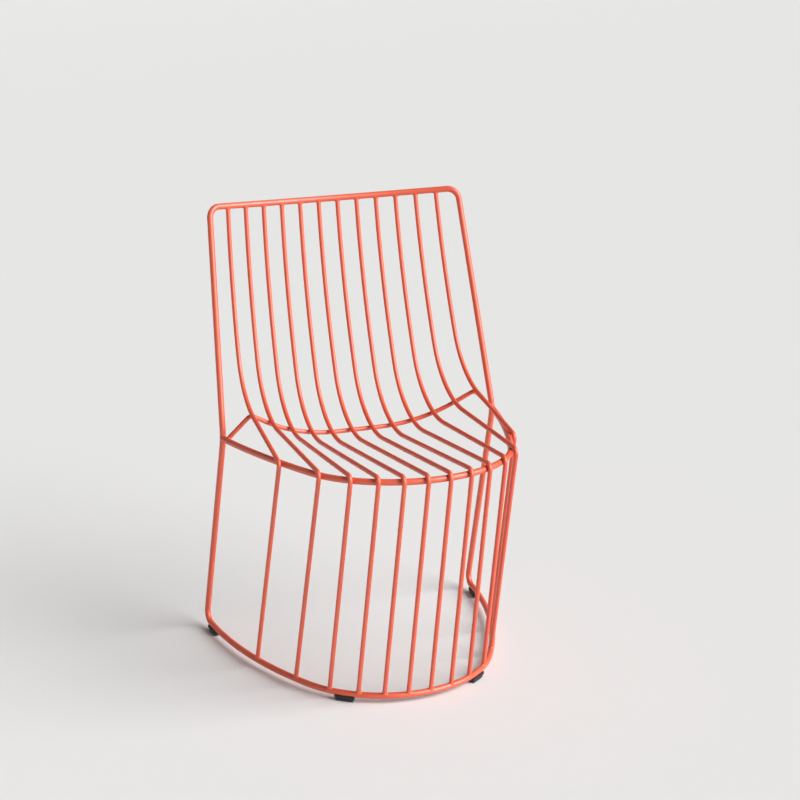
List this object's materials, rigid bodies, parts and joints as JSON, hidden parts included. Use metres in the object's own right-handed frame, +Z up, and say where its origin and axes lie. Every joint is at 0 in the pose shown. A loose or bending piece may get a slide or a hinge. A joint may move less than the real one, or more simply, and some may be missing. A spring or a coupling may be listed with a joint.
{
  "type": "outdoor side chair",
  "caption": "Armless outdoor chair welded from bent round steel rod, with slats that run from the top rail through the seat to a curved base on plastic glides.",
  "frame": {"origin": "on the floor at the middle of the chair's overall box", "axes": "+Z up, +Y to the back of the chair so the sitter faces -Y, +X to the sitter's left"},
  "size_m": [0.5372, 0.5903, 0.8017],
  "materials": {
    "coral_coat": "satin coral powder coat on solid steel rod",
    "glide_plastic": "matt black moulded plastic"
  },
  "bodies": {
    "root": {"back_frame": "coral_coat", "base_hoop": "coral_coat", "front_seat_hoop": "coral_coat", "rear_seat_rail": "coral_coat", "slat_01": "coral_coat", "slat_02": "coral_coat", "slat_03": "coral_coat", "slat_04": "coral_coat", "slat_05": "coral_coat", "slat_06": "coral_coat", "slat_07": "coral_coat", "slat_08": "coral_coat", "slat_09": "coral_coat", "slat_10": "coral_coat", "slat_11": "coral_coat", "slat_12": "coral_coat", "top_rail_welds": "coral_coat", "rear_rail_welds": "coral_coat", "front_hoop_welds": "coral_coat", "base_welds": "coral_coat", "hoop_end_welds": "coral_coat", "link_welds": "coral_coat", "glide_front_left": "glide_plastic", "glide_front_right": "glide_plastic", "glide_rear_left": "glide_plastic", "glide_rear_right": "glide_plastic"}
  },
  "joints": []
}
